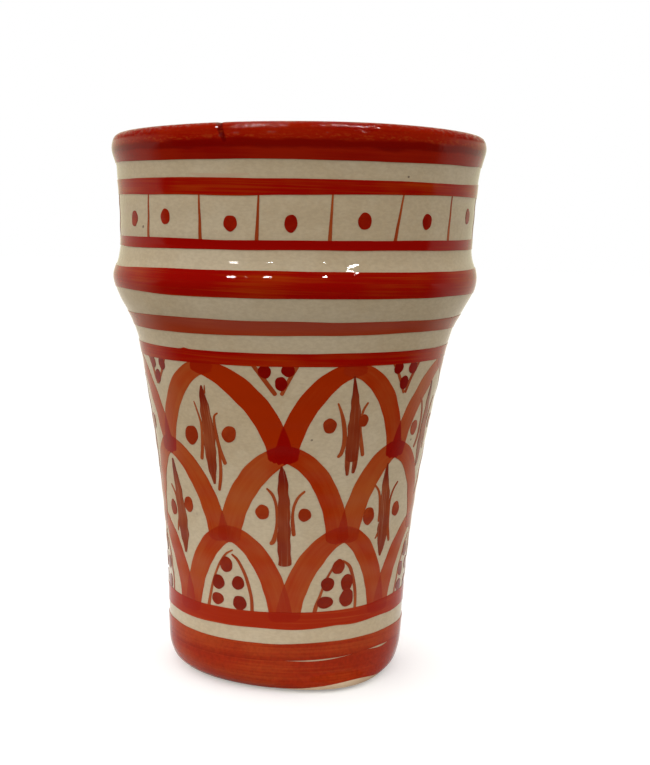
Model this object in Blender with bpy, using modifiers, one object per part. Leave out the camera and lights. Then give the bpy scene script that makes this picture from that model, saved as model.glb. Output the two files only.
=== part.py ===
"""Handleless earthenware mug, thrown on a wheel, glazed and banded in red.

The mug is built up in the order in which the real one is made. A single wall of clay is
thrown and its foot is turned. A lining of cream glaze is poured in, a coat of the same
glaze goes on outside, and bands of red colour are brushed on while the mug turns.
Every layer is a turned solid, set out from the surface of the clay below it.

The origin is the middle of the foot, on the table, with +Z up along the axis of the wheel.
"""

import math

import bpy

MM = 0.001

# Thrown wall of bare clay, one section above another from the table up
FOOT_HEIGHT = 9.0 * MM
BODY_HEIGHT = 65.0 * MM
SHOULDER_HEIGHT = 12.0 * MM
COLLAR_FALL = 5.0 * MM
FRIEZE_HEIGHT = 23.7 * MM
LIP_RISE = 1.5 * MM

# Outer radii of the bare clay, and how far the collar and the frieze are set in from the lip
FOOT_RADIUS = 25.5 * MM
NECK_RADIUS = 33.85 * MM
LIP_RADIUS = 39.6 * MM
COLLAR_SET_IN = 0.7 * MM
FRIEZE_SET_IN = 1.9 * MM

# How fast the wall opens: the power of the rise in each flared section
BODY_FLARE = 1.78
FRIEZE_FLARE = 2.2

# Thickness of the clay, and the turned foot
WALL = 4.3 * MM
LIP_WALL = 4.2 * MM
FLOOR = 6.0 * MM
FLOOR_CORNER = 7.0 * MM
FOOT_CORNER = 4.0 * MM
FOOT_RING = 6.0 * MM
FOOT_RECESS = 1.4 * MM
RECESS_SLOPE = 2.0 * MM

# Coats of glaze and colour, and the clearance that keeps each off the layer under it
GLAZE = 0.40 * MM
COLOUR = 0.14 * MM
CLEARANCE = 0.05 * MM
LIP_SEAM = 0.10 * MM
BARE_FOOT_EDGE = 1.1 * MM

# Red bands: the height of each lower edge above the table or a part of the wall, and its width
LOWER_FOOT_WIDTH = 5.9 * MM
FOOT_SLIT = 0.25 * MM
UPPER_FOOT_WIDTH = 3.8 * MM
FIELD_BASE_GAP = 2.95 * MM
FIELD_BASE_WIDTH = 3.6 * MM
FIELD_TOP_BELOW_NECK = 4.6 * MM
FIELD_TOP_WIDTH = 2.65 * MM
SHOULDER_RING_ABOVE_NECK = 1.65 * MM
SHOULDER_RING_WIDTH = 2.85 * MM
COLLAR_BAND_BELOW_CREST = 3.0 * MM
COLLAR_BAND_WIDTH = 5.3 * MM
LOWER_FRIEZE_RISE = 1.3 * MM
LOWER_FRIEZE_WIDTH = 2.05 * MM
UPPER_FRIEZE_DROP = 8.6 * MM
UPPER_FRIEZE_WIDTH = 3.1 * MM
LIP_BAND_OUTER_DROP = 5.0 * MM
LIP_BAND_INNER_DROP = 2.9 * MM

# Facets
TURN_STEPS = 40
CORNER_STEPS = 3
BODY_STEPS = 6
INNER_BODY_STEPS = 4
SHOULDER_STEPS = 5
COLLAR_STEPS = 3
FRIEZE_STEPS = 4
INNER_FRIEZE_STEPS = 2
LIP_STEPS = 3
SHARP_ANGLE = math.radians(35)
AXIS_MERGE = 0.00001

# Heights above the table where the sections of the wall meet
FOOT_TOP = FOOT_HEIGHT
NECK = FOOT_TOP + BODY_HEIGHT
COLLAR = NECK + SHOULDER_HEIGHT
HOLLOW = COLLAR + COLLAR_FALL
LIP = HOLLOW + FRIEZE_HEIGHT
CREST = LIP + LIP_RISE
INNER_FLOOR = FOOT_RECESS + FLOOR
COLLAR_RADIUS = LIP_RADIUS - COLLAR_SET_IN
FRIEZE_RADIUS = LIP_RADIUS - FRIEZE_SET_IN
NECK_SLOPE = BODY_FLARE * (NECK_RADIUS - FOOT_RADIUS) / BODY_HEIGHT

BUFF_CLAY = (0.60, 0.44, 0.29)
CREAM_GLAZE = (0.44, 0.36, 0.25)
BRICK_RED = (0.31, 0.022, 0.005)


def clear_scene():
    for item in list(bpy.data.objects):
        bpy.data.objects.remove(item)


def finish(name, colour, roughness):
    """A plain material of one colour."""
    material = bpy.data.materials.new(name)
    material.use_nodes = True
    shader = material.node_tree.nodes["Principled BSDF"]
    shader.inputs["Base Color"].default_value = (*colour, 1.0)
    shader.inputs["Roughness"].default_value = roughness
    shader.inputs["Metallic"].default_value = 0.0
    material.diffuse_color = (*colour, 1.0)
    return material


def flare(bottom, top, low, high, power):
    """Radius by height of a wall that opens faster as it rises."""
    return lambda height: low + (high - low) * max((height - bottom) / (top - bottom), 0.0) ** power


def swell(bottom, top, low, high, rise):
    """Radius by height of a smooth step that starts at the slope rise and ends upright."""

    def radius(height):
        t = (height - bottom) / (top - bottom)
        start = low * (2 * t**3 - 3 * t**2 + 1) + rise * (top - bottom) * (t**3 - 2 * t**2 + t)
        return start + high * (3 * t**2 - 2 * t**3)

    return radius


def section(bottom, top, radius_at, steps):
    """Points up one section of wall, above its lowest point."""
    heights = [bottom + (top - bottom) * step / steps for step in range(1, steps + 1)]
    return [(radius_at(height), height) for height in heights]


def arc(centre, radii, start, end, steps):
    """Points along part of an ellipse, between two angles from +X, with both ends."""
    angles = [start + (end - start) * step / steps for step in range(steps + 1)]
    return [
        (centre[0] + radii[0] * math.cos(angle), centre[1] + radii[1] * math.sin(angle))
        for angle in angles
    ]


def outer_wall():
    """Outside of the clay, from its rest on the table to the crest of the lip."""
    corner_centre = (FOOT_RADIUS - FOOT_CORNER, FOOT_CORNER)
    corner = arc(corner_centre, (FOOT_CORNER, FOOT_CORNER), -math.pi / 2, 0, CORNER_STEPS)
    body = flare(FOOT_TOP, NECK, FOOT_RADIUS, NECK_RADIUS, BODY_FLARE)
    shoulder = swell(NECK, COLLAR, NECK_RADIUS, COLLAR_RADIUS, NECK_SLOPE)
    collar = swell(COLLAR, HOLLOW, COLLAR_RADIUS, FRIEZE_RADIUS, 0)
    frieze = flare(HOLLOW, LIP, FRIEZE_RADIUS, LIP_RADIUS, FRIEZE_FLARE)
    lip_centre = (LIP_RADIUS - LIP_WALL / 2, LIP)
    lip = arc(lip_centre, (LIP_WALL / 2, LIP_RISE), 0, math.pi / 2, LIP_STEPS)
    return (
        corner
        + [(FOOT_RADIUS, FOOT_TOP)]
        + section(FOOT_TOP, NECK, body, BODY_STEPS)
        + section(NECK, COLLAR, shoulder, SHOULDER_STEPS)
        + section(COLLAR, HOLLOW, collar, COLLAR_STEPS)
        + section(HOLLOW, LIP, frieze, FRIEZE_STEPS)
        + lip[1:]
    )


def inner_wall():
    """Inside of the clay, from the middle of the floor to the crest of the lip. The collar
    is a roll on the outside alone, so the inside runs smoothly past it."""
    corner_top = INNER_FLOOR + FLOOR_CORNER
    body = flare(FOOT_TOP, NECK, FOOT_RADIUS - WALL, NECK_RADIUS - WALL, BODY_FLARE)
    corner_centre = (body(corner_top) - FLOOR_CORNER, corner_top)
    corner = arc(corner_centre, (FLOOR_CORNER, FLOOR_CORNER), -math.pi / 2, 0, CORNER_STEPS)
    shoulder = swell(NECK, HOLLOW, NECK_RADIUS - WALL, FRIEZE_RADIUS - WALL, NECK_SLOPE)
    frieze = flare(HOLLOW, LIP, FRIEZE_RADIUS - WALL, LIP_RADIUS - LIP_WALL, FRIEZE_FLARE)
    lip_centre = (LIP_RADIUS - LIP_WALL / 2, LIP)
    lip = arc(lip_centre, (LIP_WALL / 2, LIP_RISE), math.pi, math.pi / 2, LIP_STEPS)
    return (
        [(0.0, INNER_FLOOR)]
        + corner
        + section(corner_top, NECK, body, INNER_BODY_STEPS)
        + section(NECK, HOLLOW, shoulder, SHOULDER_STEPS)
        + section(HOLLOW, LIP, frieze, INNER_FRIEZE_STEPS)
        + lip[1:]
    )


def underside():
    """Foot ring and shallow turned recess, from the rest on the table to the middle."""
    ring_inside = FOOT_RADIUS - FOOT_CORNER - FOOT_RING
    return [(ring_inside, 0.0), (ring_inside - RECESS_SLOPE, FOOT_RECESS), (0.0, FOOT_RECESS)]


def point_at(path, height):
    """Point of a rising path at a height."""
    for (r0, z0), (r1, z1) in zip(path, path[1:]):
        if z0 < z1 and z0 <= height <= z1:
            return (r0 + (r1 - r0) * (height - z0) / (z1 - z0), height)
    return path[-1]


def between(path, low, high):
    """Stretch of a rising path between two heights, with its ends on the path."""
    inside = [point for point in path if low < point[1] < high]
    return [point_at(path, low), *inside, point_at(path, high)]


def set_out(path, distance):
    """Path moved sideways by a distance, to the right of its direction of travel."""
    sides = []
    for (r0, z0), (r1, z1) in zip(path, path[1:]):
        length = math.hypot(r1 - r0, z1 - z0)
        sides.append(((z1 - z0) / length, (r0 - r1) / length))
    moved = []
    for (r, z), before, after in zip(path, sides[:1] + sides, sides + sides[-1:]):
        side = ((before[0] + after[0]) / 2, (before[1] + after[1]) / 2)
        reach = distance / (side[0] ** 2 + side[1] ** 2)
        moved.append((r + side[0] * reach, z + side[1] * reach))
    return moved


def turned(name, outline, material, is_ring):
    """Solid turned about Z from an outline that runs down its outer side."""
    count = len(outline)
    edges = [(index, index + 1) for index in range(count - 1)]
    if is_ring:
        edges.append((count - 1, 0))
    profile_mesh = bpy.data.meshes.new(name + "_profile")
    profile_mesh.from_pydata([(r, 0.0, z) for r, z in outline], edges, [])
    profile = bpy.data.objects.new(name + "_profile", profile_mesh)
    bpy.context.scene.collection.objects.link(profile)
    screw = profile.modifiers.new("turn", "SCREW")
    screw.axis = "Z"
    screw.angle = math.tau
    screw.steps = TURN_STEPS
    screw.render_steps = TURN_STEPS
    screw.use_normal_calculate = True
    screw.use_merge_vertices = True
    screw.merge_threshold = AXIS_MERGE
    bpy.context.view_layer.update()
    graph = bpy.context.evaluated_depsgraph_get()
    mesh = bpy.data.meshes.new_from_object(profile.evaluated_get(graph))
    mesh.name = name
    mesh.shade_smooth()
    mesh.set_sharp_from_angle(angle=SHARP_ANGLE)
    mesh.materials.clear()
    mesh.materials.append(material)
    bpy.data.objects.remove(profile)
    return bpy.data.objects.new(name, mesh)


def coat(name, path, lift, thickness, material):
    """A layer of even thickness over a path that has the clay on its left."""
    outline = set_out(path, lift + thickness)[::-1] + set_out(path, lift)
    reaches_axis = path[-1][0] == 0.0
    return turned(name, outline, material, not reaches_axis)


def clay_body(material):
    outline = inner_wall() + outer_wall()[-2::-1] + underside()
    return turned("clay_body", outline, material, False)


def glazes(material):
    """The poured lining and the dipped outside coat, which meet on the crest of the lip."""
    outside = between(outer_wall(), BARE_FOOT_EDGE, CREST)
    lining = inner_wall()[::-1]
    half_seam = LIP_SEAM / 2
    outside[-1] = (outside[-1][0] + half_seam, outside[-1][1])
    lining[0] = (lining[0][0] - half_seam, lining[0][1])
    return [
        coat("inner_glaze", lining, CLEARANCE, GLAZE, material),
        coat("outer_glaze", outside, CLEARANCE, GLAZE, material),
    ]


def band(name, bottom, width, material):
    """A brushed ring of colour on the outside glaze."""
    path = between(outer_wall(), bottom, bottom + width)
    return coat(name, path, CLEARANCE + GLAZE + CLEARANCE, COLOUR, material)


def lip_band(material):
    """Colour that wraps over the lip and covers the seam of the two glazes."""
    outside = between(outer_wall(), LIP - LIP_BAND_OUTER_DROP, CREST)
    inside = between(inner_wall(), LIP - LIP_BAND_INNER_DROP, CREST)[::-1]
    path = outside + inside[1:]
    return coat("lip_band", path, CLEARANCE + GLAZE + CLEARANCE, COLOUR, material)


def colour_bands(material):
    """Every red band, from the foot up."""
    upper_foot = BARE_FOOT_EDGE + LOWER_FOOT_WIDTH + FOOT_SLIT
    field_base = upper_foot + UPPER_FOOT_WIDTH + FIELD_BASE_GAP
    rings = [
        ("lower_foot_band", BARE_FOOT_EDGE, LOWER_FOOT_WIDTH),
        ("upper_foot_band", upper_foot, UPPER_FOOT_WIDTH),
        ("field_base_ring", field_base, FIELD_BASE_WIDTH),
        ("field_top_ring", NECK - FIELD_TOP_BELOW_NECK, FIELD_TOP_WIDTH),
        ("shoulder_ring", NECK + SHOULDER_RING_ABOVE_NECK, SHOULDER_RING_WIDTH),
        ("collar_band", COLLAR - COLLAR_BAND_BELOW_CREST, COLLAR_BAND_WIDTH),
        ("lower_frieze_ring", HOLLOW + LOWER_FRIEZE_RISE, LOWER_FRIEZE_WIDTH),
        ("upper_frieze_ring", LIP - UPPER_FRIEZE_DROP - UPPER_FRIEZE_WIDTH, UPPER_FRIEZE_WIDTH),
    ]
    return [band(*ring, material) for ring in rings] + [lip_band(material)]


def main():
    clear_scene()
    collection = bpy.data.collections.new("earthenware_mug")
    bpy.context.scene.collection.children.link(collection)
    root = bpy.data.objects.new("earthenware_mug_root", None)
    collection.objects.link(root)
    clay = finish("buff_clay", BUFF_CLAY, 0.85)
    cream = finish("cream_glaze", CREAM_GLAZE, 0.18)
    red = finish("brick_red", BRICK_RED, 0.2)
    for piece in [clay_body(clay), *glazes(cream), *colour_bands(red)]:
        collection.objects.link(piece)
        piece.parent = root


main()
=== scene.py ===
import math

import bpy
import numpy as np
from mathutils import Matrix, Quaternion, Vector


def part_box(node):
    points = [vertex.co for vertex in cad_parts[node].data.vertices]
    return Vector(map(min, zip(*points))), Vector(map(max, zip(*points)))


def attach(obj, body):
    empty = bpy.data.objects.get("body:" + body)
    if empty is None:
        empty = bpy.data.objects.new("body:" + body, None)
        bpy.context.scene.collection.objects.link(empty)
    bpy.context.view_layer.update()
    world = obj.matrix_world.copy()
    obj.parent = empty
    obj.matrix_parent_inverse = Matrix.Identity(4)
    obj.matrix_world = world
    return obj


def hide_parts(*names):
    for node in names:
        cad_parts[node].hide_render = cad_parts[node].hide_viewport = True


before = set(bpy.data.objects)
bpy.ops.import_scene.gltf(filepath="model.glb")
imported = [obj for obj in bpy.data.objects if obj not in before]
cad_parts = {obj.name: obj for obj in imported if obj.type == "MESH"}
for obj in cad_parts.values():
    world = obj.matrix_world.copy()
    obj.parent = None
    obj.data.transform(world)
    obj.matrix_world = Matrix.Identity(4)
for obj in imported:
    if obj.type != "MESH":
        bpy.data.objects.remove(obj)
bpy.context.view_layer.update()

# Lengths are in millimetres and angles in degrees round the wall, from the front and to the right
MM = 0.001
METRE = 1000.0
FULL_TURN = 2 * math.pi
BODY = "root"

# In metres, and for heights in millimetres: what counts as no distance at all
NO_GAP = 1e-6
LEVEL = 1e-3

# The camera, as the picture was taken
CAMERA_DISTANCE = 318.8
CAMERA_HEIGHT = 99.6
CAMERA_PITCH = 6.63
CAMERA_YAW = 1.29
CAMERA_ROLL = 1.85
CAMERA_LENS = 68.4
SENSOR_WIDTH = 36
CLIP_START = 10

# How finely the pot is turned again, and its strokes are laid
TURN_STEPS = 288
WALL_STEP = 0.7
FLAT_STEP = 1.2
HIDDEN_STEP = 3.0
STROKE_STEP = 0.3
STRIP_GRID = (64, 8)
HAIR_GRID = (36, 3)
RING_GRID = (TURN_STEPS, 16)
LIP_GRID = (400, 40)
DAB_SIDES = 28
DAB_INSETS = (0.12, 0.38)
SHARP_EDGE = 40

# What the hand left on the wheel: a lean of all above the foot, an uneven lip, faint throwing rings.
# A swell is (height, angle, width), and one as wide as this is the same all round
EVEN = 9999
LEAN = 0.0194
LEAN_START = 12.0
LIP_SWAY = 0.35
LIP_LEAN = 0.30
LIP_SWELLS = [(-0.1, 0, EVEN), (-0.3, 72, 30)]
LIP_HEIGHTS = (109, 116)
RING_DEPTH = 0.035
RING_PITCH = 5.2
RING_HEIGHTS = (12, 22)
TOE_SWELLS = [(2.0, 26, 26), (-1.2, -35, 40)]
TOE_HEIGHTS = (0, 5)
FOOT_SWELLS = [(-0.8, -78, 45), (-0.9, 75, 28)]
FOOT_HEIGHTS = (1, 11)
FOOT_RADII = (15, 24)

# The nick in the lip with the painted shade in it, and the worn part of its colour: how far up the band, and
# how far to each side
NICK_LOW = (-21.0, 113.2)
NICK_HIGH = (-23.6, 116.4)
NICK_DEPTH = 0.15
NICK_WIDTH = 0.6
POT_NICK_WIDTH = 3 * NICK_WIDTH
NICK_START = (-0.6, 0.4)
NICK_RADII = (36.5, 38)
NICK_CREST = (115, 116.5)
NICK_STRETCH = (-30.0, -14.0)
NICK_STRETCH_SHARE = (-0.35, 0.05)
# Painted shade in the nick: its half width at the lower end, and how much it widens towards the top, in
# millimetres
NICK_SHADE = (0.45, 0.3)
LIP_WEAR = (2.6, 5.9)
LIP_WEAR_REACH = 38.0

# How far the colours stand out of the glaze, and how deep they sit in it
COLOUR_ROOT = -0.06
SMEAR_TOP = 0.02
TOE_TOP = 0.03
SCALE_TOP = 0.040
COAT_STEP = 0.012
LINE_TOP = 0.065
LEAF_TOP = 0.080
LEAF_FOOT_TOP = LEAF_TOP - 0.01
DOT_TOP = 0.090
RING_TOP = 0.105
LOWER_FOOT_TOP = RING_TOP - 0.03

# The hand with the brush: unsteady edges, round ends, and how far copies stray from the motif
WANDER_WAVES = (2, 3, 5, 8, 13, 21)
RAGGED_WAVES = (3, 7, 13)
RAGGED_DEPTH = 0.035
LEAF_RAGGED = 1.6
SCALE_RAGGED = 0.35
DAB_WAVES = (2, 3, 5)
DAB_SWELL = (0.01, 0.035)
LEAST_WIDTH = 0.15
LEAF_CAP = 0.35
SCALE_CAP = 0.5
BLUNT_CAP = 0.8
HAIR_CAP = 0.9
MOTIF_SPREAD = 1.5
GAP_SPREAD = 1.0
CLIMB_SPREAD = 0.5
LOAD_SPREAD = 0.1
LAP_ENDS = (5, 3)
UNCOVERED = -5.0
TONE_SEEDS = 1e6
TONE_SHIFT = 300

# The scales: seven to a row, each row half a scale on from the one above it.
# A stroke is (width half way, width at its foot, roundness, load of the brush)
SCALES_IN_ROW = 7
SCALE_FALL = 0.62
SCALE_POINTS = 16
SCALE_MIDDLE = 0.45
TOP_ROW = {
    "top": 68.4, "foot": 49.2, "tops": (-34.0, 22.5), "joints": (-59.0, -2.6, 47.1), "share": 0.9,
    "head": 2.3, "coat": 0, "cross": 0.24, "laps": (1.0, 0.5), "usual": (4.5, 4.9, 1.7, 0.4),
    "seen": [((4.6, 4.8, 1.7, 0.1), (5.2, 5.2, 1.6, 0.9)), ((4.6, 5.0, 1.7, 0.8), (4.2, 4.8, 1.7, 0.45)),
             ((4.4, 4.6, 1.7, 0.1),)],
}
MIDDLE_ROW = {
    "top": 51.0, "foot": 31.9, "tops": (-58.5, -2.0, 46.8), "joints": (-29.0, 24.3), "share": 2.4,
    "head": 3.4, "coat": 2, "cross": 0.12, "laps": (0.55, 1.0), "usual": (4.6, 5.2, 1.7, 0.3),
    "seen": [((4.6, 5.2, 1.7, 0.2), (4.5, 5.2, 1.7, 0.2)), ((5.2, 5.4, 1.5, 0.15), (4.2, 5.3, 1.8, 0.5)),
             ((5.0, 5.2, 1.7, 0.1), (4.2, 5.0, 1.7, 0.2))],
}
BOTTOM_ROW = {
    "top": 33.8, "foot": 15.4, "tops": (-26.0, 25.0, 72.8), "joints": (-50.5, -0.7, 48.0), "share": 1.5,
    "head": 3.0, "coat": 0, "cross": 0.12, "laps": (0.45, 0.45), "usual": (4.6, 5.2, 1.7, 0.3),
    "seen": [((4.8, 5.2, 1.7, 0.2), (4.2, 5.0, 1.7, 0.35)), ((4.9, 5.2, 1.7, 0.25), (4.6, 5.2, 1.7, 0.25)),
             ((4.4, 5.0, 1.7, 0.2),)],
}
ROWS = {"top": TOP_ROW, "middle": MIDDLE_ROW, "bottom": BOTTOM_ROW}

# Leaves in the scales of the two upper rows.
# A line has points of (angle, height, width), a dot is (angle, height, width, height, turn)
LEAVES = [
    {
        "row": "top", "top": -34.0,
        "leaf": [(-34.9, 64.7, 0.3), (-34.7, 62.5, 1.5), (-34.0, 58.5, 2.5), (-33.4, 53.5, 2.9),
                 (-33.0, 49.0, 2.5), (-32.6, 46.0, 1.6), (-32.2, 44.0, 0.5)],
        "hairs": [
            [(-39.3, 61.2, 0.25), (-38.0, 59.3, 0.35), (-36.9, 57.0, 0.5), (-36.7, 54.5, 0.6),
             (-37.2, 51.5, 0.8), (-37.9, 48.9, 0.9)],
            [(-28.5, 59.2, 0.35), (-30.0, 58.6, 0.45), (-30.4, 57.0, 0.6), (-29.8, 54.5, 0.7),
             (-28.7, 51.5, 0.85), (-26.4, 48.4, 0.9)],
            [(-29.3, 52.0, 0.35), (-28.8, 48.0, 0.7), (-29.3, 45.0, 0.8), (-30.1, 42.7, 0.65)],
            [(-33.4, 64.8, 0.2), (-33.6, 63.0, 0.45)],
        ],
        "dots": [(-42.4, 53.9, 3.7, 4.1, -30), (-24.3, 54.9, 3.2, 3.5, -25)],
    },
    {
        "row": "top", "top": 22.5,
        "leaf": [(22.3, 67.3, 0.25), (23.1, 64.5, 1.0), (24.0, 61.0, 2.1), (24.5, 57.0, 2.8),
                 (24.9, 52.0, 3.1), (25.0, 49.3, 2.8)],
        "feet": [[(23.2, 53.5, 0.9), (23.2, 50.5, 1.2), (23.3, 48.5, 1.1), (23.7, 46.4, 0.6)],
                 [(26.6, 53.5, 0.9), (26.6, 50.5, 1.2), (26.5, 48.5, 1.1), (26.1, 46.8, 0.7)]],
        "hairs": [
            [(17.0, 61.8, 0.35), (18.5, 60.0, 0.6), (20.0, 57.5, 0.9), (21.0, 54.5, 1.0),
             (20.7, 52.3, 0.9), (19.8, 50.9, 0.8), (18.7, 50.4, 0.6)],
            [(29.3, 61.7, 0.45), (28.0, 60.6, 0.5), (27.2, 59.2, 0.5), (27.0, 57.0, 0.6),
             (27.8, 54.5, 0.8), (29.0, 52.0, 0.9), (29.9, 50.3, 0.8)],
        ],
        "dots": [(14.6, 57.1, 2.8, 3.2, 15), (28.2, 57.9, 2.2, 2.6, 0)],
    },
    {
        "row": "top", "top": 73.1,
        "leaf": [(66.3, 64.6, 0.3), (66.9, 61.5, 1.4), (67.5, 57.0, 2.4), (67.9, 52.5, 2.8),
                 (68.1, 49.0, 2.3), (68.0, 45.8, 0.6)],
        "hairs": [
            [(58.2, 61.4, 0.35), (60.2, 60.6, 0.5), (62.4, 58.0, 0.7), (63.5, 55.0, 0.9), (62.9, 52.5, 0.9),
             (61.2, 50.4, 0.7)],
            [(75.0, 60.8, 0.4), (72.6, 58.6, 0.5), (71.5, 55.6, 0.7), (72.2, 52.0, 0.8), (73.6, 49.4, 0.8)],
        ],
        "dots": [(57.9, 55.0, 2.7, 3.2, 0), (77.5, 55.2, 2.8, 3.2, 0)],
    },
    {
        "row": "middle", "top": -58.5,
        "leaf": [(-57.8, 47.9, 0.5), (-57.3, 46.0, 1.3), (-56.0, 42.5, 2.2), (-54.5, 38.0, 2.8),
                 (-53.8, 34.0, 3.7), (-53.5, 31.5, 3.2), (-53.0, 29.5, 1.6), (-52.8, 27.8, 0.6)],
        "hairs": [
            [(-62.0, 42.0, 0.35), (-60.0, 41.0, 0.5), (-58.0, 39.6, 0.6), (-57.0, 37.0, 0.7)],
            [(-57.2, 35.0, 0.5), (-58.2, 33.3, 0.6), (-59.0, 32.0, 0.3)],
        ],
        "dots": [(-61.5, 36.9, 2.6, 3.4, 0), (-48.4, 38.6, 2.9, 3.3, 0)],
    },
    {
        "row": "middle", "top": -2.0,
        "leaf": [(-3.3, 48.7, 0.3), (-3.0, 47.4, 1.2), (-2.6, 45.5, 1.9), (-2.3, 42.0, 2.3),
                 (-1.9, 38.0, 2.5), (-1.6, 33.5, 2.7), (-1.2, 30.0, 2.9), (-1.2, 27.4, 2.7)],
        "hairs": [
            [(-9.3, 44.0, 0.35), (-7.0, 42.8, 0.6), (-5.6, 41.2, 0.6), (-4.9, 38.5, 0.55),
             (-4.9, 36.0, 0.6), (-5.5, 34.0, 0.85), (-6.4, 32.6, 1.0), (-7.7, 32.1, 0.7)],
            [(6.5, 43.5, 0.45), (4.0, 42.3, 0.55), (2.3, 40.5, 0.6), (1.7, 38.5, 0.6),
             (1.9, 36.3, 0.8), (2.6, 33.9, 0.85)],
        ],
        "dots": [(-11.0, 38.9, 2.9, 3.1, 20), (6.7, 38.4, 2.65, 2.8, 0)],
    },
    {
        "row": "middle", "top": 46.8,
        "leaf": [(43.6, 48.2, 0.3), (43.8, 46.0, 1.1), (44.4, 43.2, 2.1), (45.3, 39.5, 2.8),
                 (46.2, 36.0, 3.0), (46.4, 33.0, 3.2), (46.4, 30.5, 2.4), (46.3, 27.9, 0.4)],
        "hairs": [
            [(38.0, 43.8, 0.45), (40.0, 42.8, 0.5), (41.5, 41.4, 0.6), (42.6, 39.0, 0.7),
             (43.0, 35.5, 0.6)],
            [(52.8, 43.7, 0.35), (50.5, 42.5, 0.45), (49.0, 40.5, 0.55), (48.9, 38.0, 0.6),
             (49.5, 35.0, 0.8), (50.8, 32.0, 0.9), (51.8, 30.7, 0.6)],
            [(43.8, 33.5, 0.5), (42.6, 32.4, 0.5), (41.8, 31.9, 0.25)],
        ],
        "dots": [(36.6, 37.2, 2.9, 3.8, 5), (54.0, 37.6, 2.6, 3.3, 0)],
    },
]

# Seeds in the scales of the bottom row, under a thin arch
SEEDS = [
    {
        "top": -26.0,
        "arch": [
            [(-24.6, 30.3, 0.3), (-27.5, 29.5, 0.45), (-31.0, 27.4, 0.5), (-33.8, 24.8, 0.5),
             (-35.8, 22.0, 0.6), (-37.3, 19.3, 0.7), (-38.2, 16.8, 0.9)],
            [(-25.3, 29.4, 0.4), (-23.0, 28.6, 0.55), (-20.0, 26.4, 0.65), (-17.5, 23.5, 0.7),
             (-15.8, 20.3, 0.7), (-15.3, 16.8, 0.8)],
        ],
        "dots": [(-28.0, 27.0, 2.9, 3.4, 0), (-32.3, 23.0, 2.9, 3.2, 10), (-22.2, 23.3, 2.8, 2.9, 0),
                 (-32.8, 19.4, 2.9, 2.6, 0), (-21.4, 19.0, 3.0, 3.2, 0)],
    },
    {
        "top": 25.0,
        "arch": [
            [(22.0, 27.9, 0.4), (20.3, 26.4, 0.5), (17.6, 24.0, 0.5), (15.3, 20.8, 0.6),
             (13.6, 18.4, 0.9), (12.9, 16.8, 0.9)],
            [(25.2, 28.2, 0.4), (28.5, 27.0, 0.7), (31.0, 24.6, 0.75), (32.7, 21.6, 0.75),
             (33.4, 19.0, 0.7), (33.3, 16.8, 0.6)],
        ],
        "dots": [(23.4, 26.9, 2.8, 3.2, 0), (18.7, 23.3, 2.85, 3.0, 0), (28.2, 23.3, 2.85, 3.6, 0),
                 (17.9, 19.4, 3.5, 2.6, 5), (28.5, 20.0, 3.3, 3.9, 0)],
    },
]

# Three dots in a V of two lines, in the gaps over the joints of the top row
GAPS = [
    {
        "joint": -59.0,
        "lines": [[(-66.0, 69.6, 0.8), (-63.5, 66.6, 0.8), (-61.2, 63.7, 0.7)],
                  [(-53.3, 69.6, 0.8), (-57.3, 66.0, 0.7), (-60.7, 63.7, 0.6)]],
        "dots": [(-63.0, 68.3, 2.4, 2.8, 0), (-55.7, 68.3, 2.5, 2.8, 0), (-60.0, 65.4, 2.5, 2.8, 0)],
    },
    {
        "joint": -2.6,
        "lines": [[(-14.2, 69.7, 0.8), (-10.6, 67.0, 0.9), (-5.7, 63.4, 0.9)],
                  [(1.8, 69.7, 0.8), (-0.6, 67.2, 0.8), (-3.9, 63.4, 0.8)]],
        "dots": [(-9.8, 68.2, 2.6, 2.8, 0), (-1.6, 68.6, 2.7, 2.8, 0), (-4.0, 65.8, 2.5, 2.9, 0)],
    },
    {
        "joint": 47.1,
        "lines": [[(38.0, 69.7, 0.7), (42.0, 66.6, 0.7), (45.8, 63.0, 0.7)],
                  [(52.0, 69.7, 0.8), (48.8, 66.4, 0.8), (46.4, 63.0, 0.7)]],
        "dots": [(40.8, 68.5, 2.5, 2.6, 0), (48.6, 68.3, 2.6, 2.7, 0), (44.9, 65.3, 2.5, 2.9, 0)],
    },
]

# The frieze: upright lines, each from its head to its foot, and a dot in each panel
FRIEZE_PANELS = 16
FRIEZE_HEAD = 103.5
FRIEZE_FOOT = 93.8
FRIEZE_LINES = [(-79.5, -79.5), (-51.0, -51.7), (-30.1, -29.6), (-11.3, -11.7), (10.0, 9.6), (32.5, 30.3),
                (54.0, 53.5), (80.0, 80.0)]
FRIEZE_LINE_WIDTHS = (0.35, 0.55, 0.8)
FRIEZE_LINE_SLANT = (-1.5, 0.8)
FRIEZE_DOTS = [(-60.2, 98.0), (-43.2, 98.5), (-19.8, 97.4), (-1.8, 97.5), (20.0, 98.1), (42.4, 98.1),
               (67.2, 99.2)]
FRIEZE_DOT_SIZE = (2.7, 3.2)
FRIEZE_DOT_SPREAD = (0.94, 1.06)
FRIEZE_DOT_TURN = 8
FRIEZE_DOT_HEIGHT = 98
FRIEZE_DOT_CLIMB = 0.7

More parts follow.
